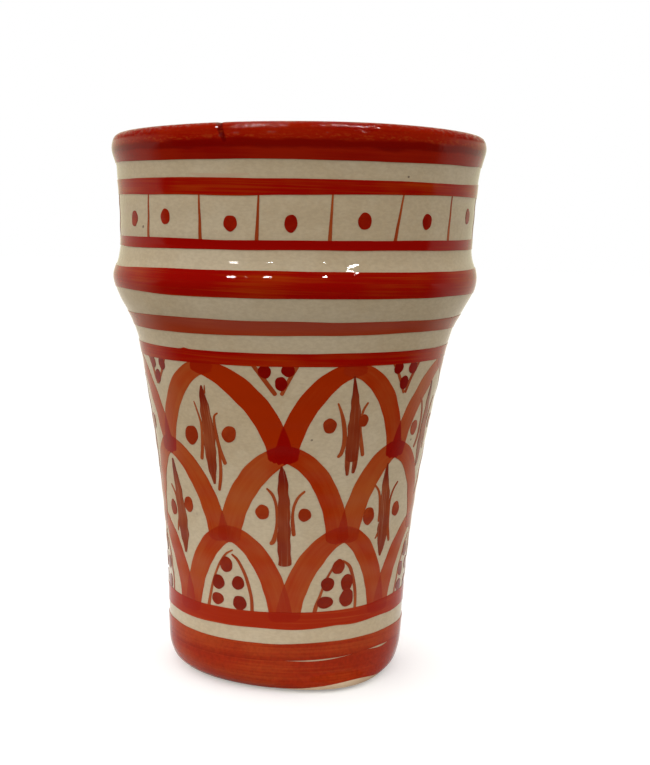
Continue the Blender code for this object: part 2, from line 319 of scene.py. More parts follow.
# Where the lower and the upper edge of each band swell or shrink
EDGE_SWELLS = {
    "lip_band": ([(0.14, -4, 18), (-0.2, 64, 12)], []),
    "upper_frieze_ring": ([(0.42, 42, 30), (-0.22, -19, 11)], [(-0.32, 58, 24), (0.12, -32, 14)]),
    "lower_frieze_ring": ([(-0.16, -58, 14), (0.13, 0, 12), (0.14, 36, 16)], [(-0.17, -20, 12)]),
    "collar_band": ([(0.25, 0, EVEN), (0.75, -68, 24), (0.12, 60, 20)],
                    [(-0.20, 0, EVEN), (-0.30, -66, 14), (-0.18, 40, 40)]),
    "shoulder_ring": ([(0.42, 42, 26), (0.2, 4, 12)], [(0.46, -40, 28), (0.2, 0, 10), (-0.15, 52, 12)]),
    "field_top_ring": ([], [(0.3, -41, 1.4)]),
    "field_base_ring": ([(0.8, 72, 26), (0.5, -75, 20), (-0.17, 2, 9), (0.25, 24, 6), (0.3, 47, 9)],
                        [(0.8, 72, 26), (0.5, -75, 20)]),
    "upper_foot_band": ([(0.7, 52, 22)], [(0.5, -68, 18), (-0.32, 2, 26), (0.2, 60, 14)]),
    "lower_foot_band": ([(2.0, 34, 24)], [(0.45, 0, EVEN), (-0.53, 15, 19), (-0.58, 52, 7.5), (0.7, 52, 22)]),
}

# The second turn of the brush on the foot: a narrow lap in it, and where that fades
FOOT_LAP_RISE = 1.9
FOOT_LAP_WIDTH = 0.22
FOOT_LAP_FADE = (0.8, 30, 60)

# Where the foot was left bare, under the end of its red
BARE_TOE = [(3.0, 1.0, 0.5), (16.0, 1.2, 1.4), (32.0, 1.7, 2.4), (50.0, 1.6, 2.0), (72.0, 1.2, 0.6)]

# A faint smear of colour under the lip
SMEAR = [(-33.0, 106.9, 0.3), (-28.0, 106.6, 0.7), (-22.0, 106.5, 0.8), (-14.0, 106.9, 0.3)]

# Iron specks in the glaze
SPECKS = [(8.0, 54.2, 0.5), (-54.5, 96.4, 0.6), (33.5, 106.8, 0.5), (57.2, 52.4, 0.4), (118.0, 60.5, 0.5),
          (171.0, 99.0, 0.4), (203.0, 79.5, 0.5), (262.0, 97.5, 0.4)]
SPECK_FLATNESS = 0.8
SPECK_TURN = 20

# Colours, as light is sent back
CREAM = (0.438, 0.355, 0.243)
CREAM_WARM = (0.405, 0.316, 0.202)
CREAM_PALE = (0.490, 0.412, 0.298)
CLAY_PALE = (0.60, 0.44, 0.29)
CLAY_DARK = (0.40, 0.26, 0.15)
SPECK_BROWN = (0.21, 0.165, 0.115)
LIP_THIN = (0.25, 0.008, 0.001)
LIP_FULL = (0.205, 0.0008, 0.0002)
# Painted shade: the lip's deep colour shows only in its nick, for the shade in the dent
LIP_NICK_SHADE = (0.10, 0.0008, 0.0005)
# Painted shade: a darker stripe on the lip, where its outer face turns away from the light
LIP_PAINTED_SHADE = (0.135, 0.0006, 0.0003)
LIP_RUBBED = (0.36, 0.07, 0.012)
# Partly wear and partly painted light: a lighter crest on the lip, where it faces up to the light
LIP_CREST_WEAR_AND_LIGHT = (0.30, 0.030, 0.004)

# Patterns in the glaze, in repeats to the metre, and how deep its skin is in metres
CLOUDS = 34.0
GRAIN = 300.0
CRAZING = 360.0
FLECKS = 210.0
GRIT = 1300.0
PEEL = 900.0
WAVES = 110.0
LIP_GRAINS = 1400.0
CLAY_GRAIN = 1500.0
CLAY_CLOUDS = 60.0
SKIN_DEPTH = 0.00004
SKIN_STRENGTH = 0.25
LIP_SKIN_STRENGTH = 0.6
CLAY_SKIN_DEPTH = 0.0001

# Tracks of the bristles in a colour: how many to a millimetre across, and their length
BAND_TRACKS = (2.4, 30.0)
DOT_TRACKS = (0.8, 2.0)

# How much of the room the glaze sends back when it is looked at straight on
GLAZE_SHINE = 0.10
THIN_SHINE = 0.05
WORN_SHINE = 0.02

rng = np.random.default_rng(4261)


# Small sums

def rise(value, low, high):
    """0 below low, 1 above high, and eased between them."""
    t = np.clip((value - low) / (high - low), 0, 1)
    return t * t * (3 - 2 * t)


def run_along(points):
    """How far along a line each of its points is."""
    return np.concatenate([[0], np.cumsum(np.linalg.norm(np.diff(points, axis=0), axis=1))])


def eased(points, spacing):
    """Points about this far apart on a smooth curve through these ones, which may carry more than a place."""
    p = np.asarray(points, float)
    gap = np.linalg.norm(np.diff(p[:, :2], axis=0), axis=1)
    run = np.concatenate([[0], np.cumsum(gap)])
    slope = np.diff(p, axis=0) / gap[:, None]
    lead = np.concatenate([slope[:1], slope])
    weight = np.concatenate([[1], gap[1:], [1]]) / np.concatenate([[1], gap[1:] + gap[:-1], [1]])
    trail = np.concatenate([slope, slope[-1:]])
    tangent = lead * weight[:, None] + trail * (1 - weight[:, None])
    at = np.linspace(0, run[-1], max(2, round(run[-1] / spacing) + 1))
    k = np.clip(np.searchsorted(run, at, side="right") - 1, 0, len(gap) - 1)
    f = ((at - run[k]) / gap[k])[:, None]
    reach = gap[k][:, None]
    near = (1 + 2 * f) * (1 - f) ** 2 * p[k] + f * (1 - f) ** 2 * reach * tangent[k]
    far = f ** 2 * (3 - 2 * f) * p[k + 1] + f ** 2 * (f - 1) * reach * tangent[k + 1]
    return near + far


def straight(points, spacing):
    """Points about this far apart on the straight stretches between these ones."""
    line = [points[0]]
    for a, b in zip(points[:-1], points[1:]):
        count = max(1, round(float(np.hypot(*(b - a))) / spacing))
        line += [a + (b - a) * k / count for k in range(1, count + 1)]
    return np.array(line)


def wander(angle, seed, size):
    """A slow unsteadiness round the wall, as of a hand-held brush."""
    draw = np.random.default_rng(seed)
    total = np.zeros_like(angle)
    for waves in WANDER_WAVES:
        total += np.cos(waves * np.radians(angle) + draw.uniform(0, FULL_TURN)) / math.sqrt(waves)
    return size * total / 2


def bump(angle, middle, width):
    """1 at this angle, fading to 0 about this far from it, and the same a full turn on."""
    away = (angle - middle + 180) % 360 - 180
    return np.exp(-(away / width) ** 2)


def swelled(angle, swells):
    """The sum of several such bumps, each (height, angle, width)."""
    return sum(height * bump(angle, middle, width) for height, middle, width in swells)


# The outline of the pot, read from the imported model

def section(node):
    """The outline of a turned node in its half plane, in order, as (radius, height), from its lowest end."""
    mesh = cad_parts[node].data
    spots = []
    for v in mesh.vertices:
        level = abs(v.co.y) < NO_GAP and v.co.x > 0
        spots.append((round(v.co.x / MM, 3), round(v.co.z / MM, 3)) if level else None)
    beside = {}
    for edge in mesh.edges:
        a, b = (spots[i] for i in edge.vertices)
        if a and b and a != b:
            beside.setdefault(a, set()).add(b)
            beside.setdefault(b, set()).add(a)
    ends = [spot for spot, others in beside.items() if len(others) == 1]
    line = [min(ends or beside, key=lambda spot: spot[1])]
    while True:
        onward = sorted(spot for spot in beside[line[-1]] if spot not in line)
        if not onward:
            return np.array(line)
        line.append(onward[-1])


def cut_at_crest(line):
    """The part of an outline up to its highest point, and the part from there on."""
    crest = int(np.argmax(line[:, 1]))
    if len(line) > crest + 1 and line[crest + 1, 1] > line[crest, 1] - LEVEL:
        crest += 1
    return line[:crest + 1], line[crest + 1:]


outside, outside_hidden = cut_at_crest(section("outer_glaze"))
inside_hidden, inside = cut_at_crest(section("inner_glaze"))
if inside_hidden[-1, 1] > inside[0, 1]:
    inside = np.vstack([inside_hidden[-1:], inside])
    inside_hidden = inside_hidden[:-1]
outside_line = eased(outside, WALL_STEP)
inside_line = eased(inside, WALL_STEP)
wall_line = np.vstack([outside_line, inside_line])
wall_run = run_along(wall_line)
wall_way = np.gradient(wall_line, wall_run, axis=0)
wall_way /= np.linalg.norm(wall_way, axis=1)[:, None]
wall_out = np.stack([wall_way[:, 1], -wall_way[:, 0]], -1)


def run_at(height):
    """How far up the outside of the wall this height is."""
    return np.interp(height, outside_line[:, 1], wall_run[:len(outside_line)])


def radius_at(height):
    """The radius of the outside at this height."""
    return np.interp(height, outside_line[:, 1], outside_line[:, 0])


def height_at(run):
    """The height of a place this far along the wall."""
    return np.interp(run, wall_run, wall_line[:, 1])


def on_wall(angle, run, lift):
    """Places in metres on the wall, before it is thrown out of true."""
    r = np.interp(run, wall_run, wall_line[:, 0]) + lift * np.interp(run, wall_run, wall_out[:, 0])
    z = height_at(run) + lift * np.interp(run, wall_run, wall_out[:, 1])
    a = np.radians(angle)
    return np.stack([r * np.sin(a), -r * np.cos(a), z], -1) * MM


def thrown(co, nick_width):
    """The same places on the pot as the hand left it."""
    x, y, z = co.T / MM
    r = np.hypot(x, y)
    angle = np.arctan2(x, -y)
    turn = np.degrees(angle)
    r = r + RING_DEPTH * np.sin(FULL_TURN * z / RING_PITCH + angle) * rise(z, *RING_HEIGHTS)
    for swells, heights in ((TOE_SWELLS, TOE_HEIGHTS), (FOOT_SWELLS, FOOT_HEIGHTS)):
        r = r + swelled(turn, swells) * (1 - rise(z, *heights)) * rise(r, *FOOT_RADII)
    slant = (NICK_HIGH[0] - NICK_LOW[0]) / (NICK_HIGH[1] - NICK_LOW[1])
    groove = np.radians(NICK_LOW[0] + (z - NICK_LOW[1]) * slant)
    dent = NICK_DEPTH * np.exp(-((angle - groove) * r / nick_width) ** 2)
    dent = dent * rise(z, NICK_LOW[1] + NICK_START[0], NICK_LOW[1] + NICK_START[1]) * rise(r, *NICK_RADII)
    r = r - dent
    z = z - dent * rise(z, *NICK_CREST)
    sway = LIP_SWAY * np.cos(2 * angle) + LIP_LEAN * np.sin(angle) + swelled(turn, LIP_SWELLS)
    z = z + sway * rise(z, *LIP_HEIGHTS)
    x = r * np.sin(angle)
    z = z + LEAN * x * np.clip(z / LEAN_START, 0, 1)
    return np.stack([x, -r * np.cos(angle), z], -1) * MM


# Meshes

def coordinates(obj):
    co = np.empty(len(obj.data.vertices) * 3, np.float32)
    obj.data.vertices.foreach_get("co", co)
    return co.reshape(-1, 3).astype(float)


def move_to(obj, co):
    obj.data.vertices.foreach_set("co", co.astype(np.float32).ravel())
    obj.data.update()


def select_only(*objects):
    """Selects these objects alone, the first of them as the active one."""
    bpy.ops.object.select_all(action="DESELECT")
    for obj in objects:
        obj.select_set(True)
    bpy.context.view_layer.objects.active = objects[0]


def started(name, operator, **settings):
    """A new object, made by one modelling step."""
    bpy.ops.object.select_all(action="DESELECT")
    operator(**settings)
    obj = bpy.context.object
    obj.name = name
    return obj


def edit(obj):
    """Opens one object for modelling, with all of it selected."""
    select_only(obj)
    bpy.ops.object.mode_set(mode="EDIT")
    bpy.ops.mesh.select_all(action="SELECT")


def close_up():
    """Merges the seam of a shape that is open for modelling and turns its faces outwards."""
    bpy.ops.mesh.select_all(action="SELECT")
    bpy.ops.mesh.remove_doubles(threshold=NO_GAP)
    bpy.ops.mesh.normals_make_consistent(inside=False)
    bpy.ops.object.mode_set(mode="OBJECT")


def delete_selected(kind):
    """Deletes what is selected of the active object, edges or faces, and leaves it open for modelling."""
    bpy.ops.object.mode_set(mode="EDIT")
    bpy.ops.mesh.select_mode(type=kind)
    bpy.ops.mesh.delete(type=kind)
    bpy.ops.mesh.select_mode(type="VERT")


def spun(name, points):
    """A turned solid: an outline of (radius, height) points, spun once round the axis."""
    obj = started(name, bpy.ops.mesh.primitive_circle_add, vertices=len(points), radius=MM)
    points = np.asarray(points, float)
    move_to(obj, np.stack([points[:, 0], 0 * points[:, 0], points[:, 1]], -1) * MM)
    on_axis = [v.co.x < NO_GAP for v in obj.data.vertices]
    edit(obj)
    bpy.ops.mesh.select_all(action="DESELECT")
    bpy.ops.object.mode_set(mode="OBJECT")
    for edge in obj.data.edges:
        edge.select = all(on_axis[i] for i in edge.vertices)
    delete_selected("EDGE")
    bpy.ops.mesh.select_all(action="SELECT")
    bpy.ops.mesh.spin(steps=TURN_STEPS, angle=FULL_TURN, center=(0, 0, 0), axis=(0, 0, 1))
    close_up()
    return obj


def thickened(obj):
    """A flat shape that is open for modelling, as a closed block of unit height."""
    bpy.ops.mesh.select_all(action="SELECT")
    bpy.ops.mesh.extrude_region_move(TRANSFORM_OT_translate={"value": (0, 0, 1)})
    close_up()
    return obj


def slab(name, along, across):
    """A flat closed block of unit size for one stroke of the brush: along x and across y from -1 to 1."""
    obj = started(name, bpy.ops.mesh.primitive_grid_add, x_subdivisions=along, y_subdivisions=across, size=2)
    edit(obj)
    return thickened(obj)


def open_slab(name, along, across):
    """The same block without its two ends, to be bent into a ring."""
    obj = slab(name, along, across)
    for face in obj.data.polygons:
        face.select = abs(face.normal.x) > 0.5
    for part in (obj.data.vertices, obj.data.edges):
        for one in part:
            one.select = False
    delete_selected("FACE")
    bpy.ops.object.mode_set(mode="OBJECT")
    return obj


def disc(name):
    """A flat closed round block of unit size for one dab of the brush."""
    obj = started(name, bpy.ops.mesh.primitive_circle_add, vertices=DAB_SIDES, radius=1, fill_type="NGON")
    edit(obj)
    for thickness in DAB_INSETS:
        bpy.ops.mesh.inset(thickness=thickness)
    bpy.ops.mesh.poke()
    return thickened(obj)


def copy_of(unit, name):
    obj = bpy.data.objects.new(name, unit.data.copy())
    bpy.context.scene.collection.objects.link(obj)
    return obj


def uncovered(count):
    """For so many points: how deep they are under a second and a third stroke, and how much of that shows."""
    return np.full((count, 3), (UNCOVERED, UNCOVERED, 1.0))


def mark(obj, along, tone, coats, chart):
    """Notes how far along its stroke each point is, its tone and how deep it is under other strokes.

    The chart is a map of the stroke in millimetres, for the tracks of the bristles.
    """
    brush = np.stack([along, 0 * along, np.full(len(along), tone)], -1)
    for name, values in (("brush", brush), ("coats", coats)):
        attribute = obj.data.attributes.new(name, "FLOAT_VECTOR", "POINT")
        attribute.data.foreach_set("vector", values.astype(np.float32).ravel())
    layer = obj.data.uv_layers.new(name="stroke")
    corner = np.empty(len(obj.data.loops), np.int32)
    obj.data.loops.foreach_get("vertex_index", corner)
    layer.data.foreach_set("uv", np.stack(chart, -1)[corner].astype(np.float32).ravel())


def joined(name, parts):
    select_only(*parts)
    bpy.ops.object.join()
    parts[0].name = name
    return parts[0]


def settle(obj, material, slot, nodes=(), nick_width=NICK_WIDTH):
    """Gives a finished piece the pot's own unevenness, its finish, and its place in the model."""
    move_to(obj, thrown(coordinates(obj), nick_width))
    select_only(obj)
    bpy.ops.object.shade_smooth_by_angle(angle=math.radians(SHARP_EDGE))
    obj.data.materials.clear()
    obj.data.materials.append(material)
    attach(obj, BODY)
    if nodes:
        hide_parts(*nodes)


# The strokes of the brush

strip_unit = slab("strip_unit", *STRIP_GRID)
hair_unit = slab("hair_unit", *HAIR_GRID)
dab_unit = disc("dab_unit")
ring_unit = open_slab("ring_unit", *RING_GRID)
lip_unit = open_slab("lip_unit", *LIP_GRID)


def heights_of(up, top):
    """How far out of the glaze the points of a block are."""
    return np.where(up > 0.5, top, COLOUR_ROOT)


class Stroke:
    """One pull of the brush along (angle, height, width) points."""

    def __init__(self, points, cap):
        points = np.asarray(points, float)
        self.cap = cap
        self.scale = math.radians(1) * float(radius_at(points[:, 1].mean()))
        line = eased(points * (self.scale, 1, 1), STROKE_STEP)
        self.x, self.z, self.width = line.T
        self.width = np.maximum(self.width, LEAST_WIDTH)
        self.run = np.concatenate([[0], np.cumsum(np.hypot(np.diff(self.x), np.diff(self.z)))])
        self.length = float(self.run[-1])
        way = np.stack([np.gradient(self.x, self.run), np.gradient(self.z, self.run)], -1)
        self.way = way / np.linalg.norm(way, axis=1)[:, None]

    def width_at(self, at):
        """The width this far along the stroke, with its rounded ends."""
        width = np.interp(at, self.run, self.width)
        end = np.minimum(at, self.length - at)
        reach = np.maximum(self.cap * width / 2, LEVEL)
        return width * np.sqrt(np.clip(1 - np.clip(1 - end / reach, 0, 1) ** 2, 0, 1))

    def depth_of(self, angle, height):
        """How deep under this stroke places on the wall are: above 0 inside it, in millimetres."""
        scale = math.radians(1) * radius_at(height)
        away = (angle[:, None] - self.x[None] / self.scale + 180) % 360 - 180
        gap = np.hypot(away * scale[:, None], height[:, None] - self.z[None])
        return self.width_at(self.run)[gap.argmin(axis=1)] / 2 - gap.min(axis=1)

    def laid(self, name, unit, top, tone, others=(), ragged=0.0, laps=(1.0, 1.0)):
        """This stroke as a thin closed piece on the wall."""
        obj = copy_of(unit, name)
        u, v, up = coordinates(obj).T
        share = 0.5 - 0.5 * np.cos((u + 1) / 2 * math.pi)
        at = share * self.length
        width = self.width_at(at)
        shake = np.random.default_rng(int(tone * TONE_SEEDS))
        for waves in RAGGED_WAVES:
            swing = np.cos(waves * share * FULL_TURN / 2 + shake.uniform(0, FULL_TURN) + v)
            width = width * (1 + RAGGED_DEPTH * ragged * swing)
        way_x = np.interp(at, self.run, self.way[:, 0])
        way_z = np.interp(at, self.run, self.way[:, 1])
        x = np.interp(at, self.run, self.x) - v * width / 2 * way_z
        z = np.interp(at, self.run, self.z) + v * width / 2 * way_x
        angle = x / self.scale
        move_to(obj, on_wall(angle, run_at(z), heights_of(up, top)))
        coats = uncovered(len(u))
        upward = rise(z, self.z.min() + LAP_ENDS[0], self.z.max() - LAP_ENDS[1])
        coats[:, 2] = laps[0] + (laps[1] - laps[0]) * upward
        if others:
            depth = np.sort([other.depth_of(angle, z) for other in others], axis=0)
            coats[:, 0] = depth[-1]
            coats[:, 1] = depth[-2]
        mark(obj, share, tone, coats, (at, v * width / 2 + tone * TONE_SHIFT))
        edit(obj)
        close_up()
        return obj


def dab(name, angle, height, width, tall, turn, tone, top=DOT_TOP):
    """One dot, set down with the tip of the brush."""
    obj = copy_of(dab_unit, name)
    u, v, up = coordinates(obj).T
    draw = np.random.default_rng(int(tone * TONE_SEEDS))
    way = np.arctan2(v, u)
    swell = 1 + sum(draw.uniform(*DAB_SWELL) * np.cos(waves * way + draw.uniform(0, FULL_TURN))
                    for waves in DAB_WAVES)
    a = math.radians(turn)
    x = swell * (u * width / 2 * math.cos(a) - v * tall / 2 * math.sin(a))
    z = swell * (u * width / 2 * math.sin(a) + v * tall / 2 * math.cos(a))
    place = angle + np.degrees(x / radius_at(height))
    move_to(obj, on_wall(place, run_at(height + z), heights_of(up, top)))
    mark(obj, u, tone, uncovered(len(u)), (x + tone * TONE_SHIFT, z))
    return obj


def round_the_wall(seen, count):
    """These angles, and evenly spaced ones for the rest of the way round."""
    rest = np.linspace(seen[-1], seen[0] + 360, count - len(seen) + 2)[1:-1]
    return list(seen) + [float(a) for a in rest]


def scale_strokes(row):
    """The left and right stroke of each scale of a row."""
    tops = round_the_wall(row["tops"], SCALES_IN_ROW)
    joints = np.array(round_the_wall(row["joints"], SCALES_IN_ROW))
    turn = np.concatenate([[-row["cross"], -row["cross"] / 2], np.linspace(0, math.pi / 2, SCALE_POINTS)])
    down = np.cos(turn) ** (2 * SCALE_FALL)
    down = np.where(turn < 0, 2 - down, down)
    height = row["foot"] + (row["top"] - row["foot"]) * down
    share = np.linspace(0, 1, len(turn))
    strokes = []
    for k, top in enumerate(tops):
        seen = row["seen"][k] if k < len(row["seen"]) else ()
        for side in (-1, 1):
            gap = ((joints - top) * side) % 360
            foot = side * (float(gap.min()) - row["share"])
            known = seen[(side + 1) // 2:]
            middle, end, roundness, load = known[0] if known else row["usual"]
            width = np.interp(share, (0, SCALE_MIDDLE, 1), (row["head"], middle, end))
            across = np.sign(turn) * np.abs(np.sin(turn)) ** (2 / roundness)
            stroke = Stroke(np.stack([top + foot * across, height, width], -1), SCALE_CAP)
            stroke.tone = load + float(rng.uniform(0, LOAD_SPREAD))
            strokes.append(stroke)
    return strokes


def on_round(motifs, key, places, spread):
    """Each motif where it was seen, then copies of them in turn, a little out of true, for the bare places.

    Each comes with its turn round the wall and its climb.
    """
    for k, place in enumerate(places):
        motif = motifs[k % len(motifs)]
        turn, climb = place - motif[key], 0
        if k >= len(motifs):
            turn += rng.uniform(-spread, spread)
            climb = rng.uniform(-CLIMB_SPREAD, CLIMB_SPREAD)
        yield motif, turn, climb


def moved(points, turn, climb):
    return [(p[0] + turn, p[1] + climb, *p[2:]) for p in points]


def fresh_tone():
    """A tone for the next stroke, from a thin to a full brush."""
    return float(rng.uniform(0, 1))


def pulled(lines, turn, climb, cap=HAIR_CAP, top=LINE_TOP):
    """Thin lines of a motif."""
    strokes = [Stroke(moved(line, turn, climb), cap) for line in lines]
    return [stroke.laid("line", hair_unit, top, fresh_tone()) for stroke in strokes]


def dabbed(dots, turn, climb):
    """The dots of a motif."""
    return [dab("dot", *dot, fresh_tone()) for dot in moved(dots, turn, climb)]


def ring(name, low, high, top, tone, shakes, swells, under=None, unit=ring_unit, close_to=None):
    """A band of colour round the wall between two runs along it."""
    obj = copy_of(unit, name)
    u, v, up = coordinates(obj).T
    angle = u * 180
    if close_to:
        angle = np.interp(u, (-1, *NICK_STRETCH_SHARE, 1), (-180, *close_to, 180))
    seed = int(tone * TONE_SEEDS)
    start = low + wander(angle, seed, shakes[0]) + swelled(angle, swells[0])
    stop = high + wander(angle, seed + 1, shakes[1]) + swelled(angle, swells[1])
    run = start + (stop - start) * (v + 1) / 2
    move_to(obj, on_wall(angle, run, heights_of(up, top)))
    coats = uncovered(len(u))
    if under:
        coats[:, 0] = under(angle, run)
    mark(obj, run - low, tone, coats, (angle * math.radians(radius_at(height_at(low))), run))
    edit(obj)
    close_up()
    return obj


# Shading. These are stretches of patterns, in repeats to the metre, and edges that colours have on each other

CREAM_STREAKS = (40.0, 40.0, 520.0)
CREAM_SPECKLE = (1000.0, 1000.0, 1900.0)
SPECKLE = (0.32, 0.68)
BAND_WASH = (60.0, 60.0, 120.0)
STROKE_WASH = (0.11, 0.16, 0.16)
LIP_GRIT = (900.0, 900.0, 2200.0)
LIP_PATCHES = (130.0, 130.0, 500.0)
SKIN_STRETCH = (1.0, 1.0, 3.0)
CRAZING_DRIFT = (0.005, 0.005, 0.005)
PIT_DEPTH = 4.0
LAP_EDGE = (-0.12, 0.16)
# How far up from a band's lower edge its painted shade reaches, in millimetres
LOWER_EDGE_SHADE_HEIGHT = 1.6


class Shade:
    """A shader tree to add nodes to. What goes into a node is a value or the output of another node."""

    def __init__(self, tree):
        self.tree = tree

    def wire(self, sockets, values):
        for key, value in values.items():
            if isinstance(value, bpy.types.NodeSocket):
                self.tree.links.new(value, sockets[key])
            else:
                sockets[key].default_value = value

    def add(self, kind, values=None, **settings):
        node = self.tree.nodes.new("ShaderNode" + kind)
        for key, value in settings.items():
            setattr(node, key, value)
        self.wire(node.inputs, values or {})
        return node

    def place(self):
        """Where on the object a point is, in metres."""
        return self.add("TexCoord").outputs["Object"]

    def parts(self, vector):
        return self.add("SeparateXYZ", {0: vector}).outputs

    def noted(self, name):
        """The three values that were noted on each point under this name."""
        return self.parts(self.add("Attribute", attribute_name=name).outputs["Vector"])

    def math(self, operation, *values):
        return self.add("Math", dict(enumerate(values)), operation=operation).outputs[0]

    def times(self, a, b):
        return self.math("MULTIPLY", a, b)

    def scaled(self, value, by, plus):
        return self.math("MULTIPLY_ADD", value, by, plus)

    def most(self, a, b):
        return self.math("MAXIMUM", a, b)

    def span(self, value, low, high, start=0.0, stop=1.0):
        """The value mapped from one range to another, eased and held at its ends."""
        values = {0: value, 1: low, 2: high, 3: start, 4: stop}
        return self.add("MapRange", values, interpolation_type="SMOOTHSTEP").outputs[0]

    def between(self, value, low, full, fall, high):
        """1 from full to fall, 0 below low and above high."""
        return self.times(self.span(value, low, full), self.span(value, high, fall))

    def mixed(self, share, a, b):
        return self.add("Mix", {0: share, 2: a, 3: b}).outputs[0]

    def blend(self, share, a, b):
        """Two colours mixed by a share."""
        a, b = (colour if isinstance(colour, bpy.types.NodeSocket) else (*colour, 1) for colour in (a, b))
        return self.add("Mix", {0: share, 6: a, 7: b}, data_type="RGBA").outputs[2]

    def noise(self, vector, scale, detail=3.0, rough=0.55):
        values = {"Vector": vector, "Scale": scale, "Detail": detail, "Roughness": rough}
        return self.add("TexNoise", values).outputs[0]

    def stretched(self, vector, by):
        return self.add("VectorMath", {0: vector, 1: by}, operation="MULTIPLY").outputs[0]

    def speckled(self, colour, vector, scale, dark, light):
        """A colour made darker and lighter from grain to grain."""
        speckle = self.span(self.noise(vector, scale, 3.0, 0.6), *SPECKLE, dark, light)
        return self.add("VectorMath", {0: colour, "Scale": speckle}, operation="SCALE").outputs[0]


def group(name, inputs, outputs):
    """An empty shader group with these sockets, and the sockets that start and end it."""
    tree = bpy.data.node_groups.new(name, "ShaderNodeTree")
    for way, sockets in (("INPUT", inputs), ("OUTPUT", outputs)):
        for socket in sockets:
            kind = "NodeSocketVector" if socket == "Vector" else "NodeSocketFloat"
            tree.interface.new_socket(socket, in_out=way, socket_type=kind)
    start, end = tree.nodes.new("NodeGroupInput"), tree.nodes.new("NodeGroupOutput")
    return Shade(tree), start.outputs, end.inputs


def bristle_group():
    """Tracks of the bristles along a stroke: fine lines that come and go."""
    shade, given, made = group("bristle_tracks", ("Vector", "Fineness", "Length"), ("Tracks", "Wash"))
    along, across, out = shade.parts(given["Vector"])
    slow = shade.math("DIVIDE", along, given["Length"])
    quick = shade.times(across, given["Fineness"])
    third = shade.times(out, given["Fineness"])
    track = shade.add("CombineXYZ", {0: slow, 1: quick, 2: third}).outputs[0]
    wash = shade.stretched(given["Vector"], STROKE_WASH)
    shade.wire(made, {"Tracks": shade.noise(track, 1.0, 4.0, 0.6), "Wash": shade.noise(wash, 1.0, 2.0, 0.5)})
    return shade.tree


def glaze_skin_group():
    """The skin of the glaze: fine orange peel and a slow waviness, as a height and a sheen."""
    shade, given, made = group("glaze_skin", ("Vector",), ("Height", "Roughness"))
    peel = shade.noise(given["Vector"], PEEL, 2.0)
    slow = shade.noise(shade.stretched(given["Vector"], SKIN_STRETCH), WAVES, 2.0)
    shade.wire(made, {"Height": shade.scaled(slow, 1.5, peel),
                      "Roughness": shade.span(slow, 0.3, 0.7, 0.01, 0.03)})
    return shade.tree


bristles = bristle_group()
glaze_skin = glaze_skin_group()


def new_material(name):
    """A material, its tree and the sockets of its shader."""
    material = bpy.data.materials.new(name)
    material.use_nodes = True
    tree = material.node_tree
    return material, Shade(tree), tree.nodes["Principled BSDF"].inputs


def finish_glossy(shade, shader, colour, place, shine=GLAZE_SHINE, strength=SKIN_STRENGTH, pits=None):
    """Wires a colour and the skin of the glaze to the shader."""
    skin = shade.add("Group", {"Vector": place}, node_tree=glaze_skin).outputs
    height = skin["Height"] if pits is None else shade.scaled(pits, PIT_DEPTH, skin["Height"])
    relief = shade.add("Bump", {"Height": height, "Strength": strength, "Distance": SKIN_DEPTH})
    shade.wire(shader, {"Specular IOR Level": shine, "Base Color": colour, "Roughness": skin["Roughness"],
                        "Normal": relief.outputs[0]})


def cream_glaze():
    """Cream glaze: cloudy, faintly streaked by the wheel, crazed, with a few flecks of iron."""
    material, shade, shader = new_material("cream_glaze")
    place = shade.place()
    cloud = shade.noise(place, CLOUDS)
    grain = shade.noise(place, GRAIN)
    streak = shade.noise(shade.stretched(place, CREAM_STREAKS), 1.0)
    colour = shade.blend(shade.span(cloud, 0.35, 0.65), CREAM, CREAM_WARM)
    colour = shade.blend(shade.span(grain, 0.42, 0.70, 0.0, 0.20), colour, CREAM_PALE)
    colour = shade.blend(shade.span(streak, 0.55, 0.8, 0.0, 0.25), colour, CREAM_WARM)
    colour = shade.speckled(colour, shade.stretched(place, CREAM_SPECKLE), 1.0, 0.955, 1.065)
    drift = shade.add("TexNoise", {"Vector": place, "Scale": GRAIN, "Detail": 3.0}).outputs[1]
    values = {0: drift, 1: CRAZING_DRIFT, 2: place}
    bent = shade.add("VectorMath", values, operation="MULTIPLY_ADD").outputs[0]
    cells = shade.add("TexVoronoi", {"Vector": bent, "Scale": CRAZING}, feature="DISTANCE_TO_EDGE").outputs[0]
    cracks = shade.times(shade.span(cells, 0.0, 0.05, 1.0, 0.0), shade.span(cloud, 0.4, 0.6, 0.02, 0.14))
    colour = shade.blend(cracks, colour, CLAY_DARK)
    away, chance = shade.add("TexVoronoi", {"Vector": place, "Scale": FLECKS}).outputs[:2]
    chance = shade.add("SeparateColor", {0: chance}).outputs[0]
    fleck = shade.math("LESS_THAN", away, shade.span(chance, 0.95, 1.0, 0.0, 0.08))
    colour = shade.blend(shade.times(fleck, 0.25), colour, SPECK_BROWN)
    finish_glossy(shade, shader, colour, place)
    return material


